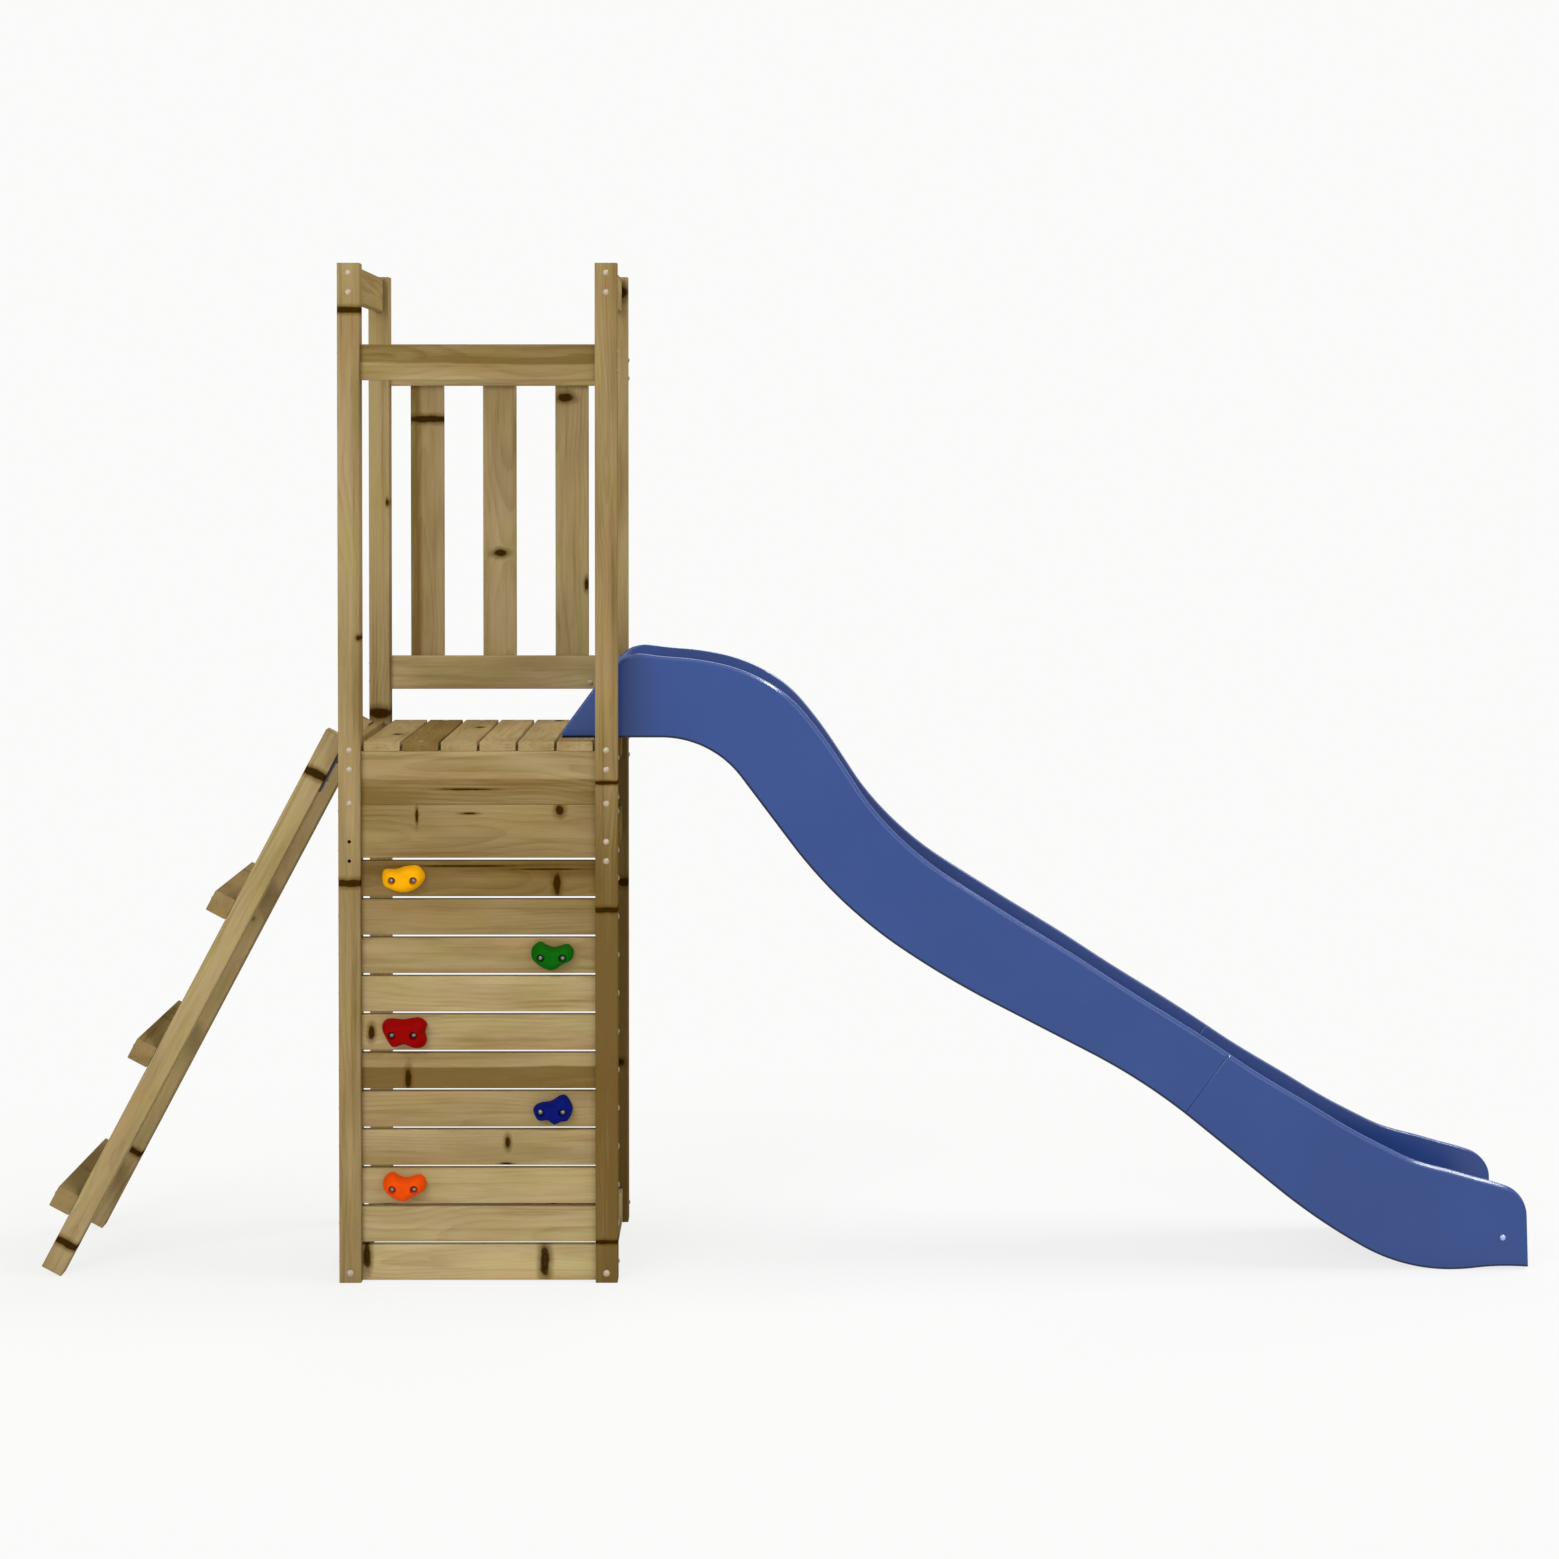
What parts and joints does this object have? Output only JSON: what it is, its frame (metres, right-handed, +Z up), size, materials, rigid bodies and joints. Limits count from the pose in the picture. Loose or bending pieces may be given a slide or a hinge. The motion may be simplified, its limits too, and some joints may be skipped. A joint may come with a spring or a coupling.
{
  "type": "climbing frame with slide",
  "caption": "Wooden play tower with a board climbing wall and moulded holds at the front, a leaning ladder at one side and a blue wave slide at the other.",
  "frame": {"origin": "middle of the part's box on the ground", "axes": "+X from the ladder to the slide's exit, +Y from the climbing wall to the back rails, +Z up"},
  "size_m": [2.865, 0.4964, 1.94],
  "materials": {
    "timber": "planed, treated softwood, satin",
    "slide_plastic": "moulded, glossy",
    "hold_yellow": "moulded, fine-grained",
    "hold_green": "moulded, fine-grained",
    "hold_red": "moulded, fine-grained",
    "hold_blue": "moulded, fine-grained",
    "hold_orange": "moulded, fine-grained",
    "screw_steel": "zinc-plated",
    "bracket_steel": "dark, dull"
  },
  "bodies": {
    "root": {"front_left_post": "timber", "front_right_post": "timber", "back_left_post": "timber", "back_right_post": "timber", "front_board_lower": "timber", "front_board_upper": "timber", "climbing_board_1": "timber", "climbing_board_2": "timber", "climbing_board_3": "timber", "climbing_board_4": "timber", "climbing_board_5": "timber", "climbing_board_6": "timber", "climbing_board_7": "timber", "climbing_board_8": "timber", "climbing_board_9": "timber", "climbing_board_10": "timber", "climbing_board_11": "timber", "deck_board_1": "timber", "deck_board_2": "timber", "deck_board_3": "timber", "deck_board_4": "timber", "deck_board_5": "timber", "deck_board_6": "timber", "left_deck_rail": "timber", "right_deck_rail": "timber", "right_lower_rail": "timber", "left_bottom_rail": "timber", "right_bottom_rail": "timber", "left_top_rail": "timber", "right_top_rail": "timber", "back_bottom_rail": "timber", "deck_ledger": "timber", "front_guard_rail": "timber", "back_guard_rail": "timber", "back_lower_rail": "timber", "baluster_1": "timber", "baluster_2": "timber", "baluster_3": "timber", "ladder_stringer_front": "timber", "ladder_stringer_back": "timber", "ladder_tread_1": "timber", "ladder_tread_2": "timber", "ladder_tread_3": "timber", "ladder_brackets": "bracket_steel", "slide_upper": "slide_plastic", "slide_lower": "slide_plastic", "hold_yellow": "hold_yellow", "hold_green": "hold_green", "hold_red": "hold_red", "hold_blue": "hold_blue", "hold_orange": "hold_orange", "hold_bolts": "screw_steel", "hold_nuts": "screw_steel", "slide_bolts": "screw_steel", "slide_screws": "screw_steel", "frame_screws": "screw_steel", "board_screws": "screw_steel", "deck_screws": "screw_steel", "baluster_screws": "screw_steel", "ladder_screws": "screw_steel"}
  },
  "joints": []
}
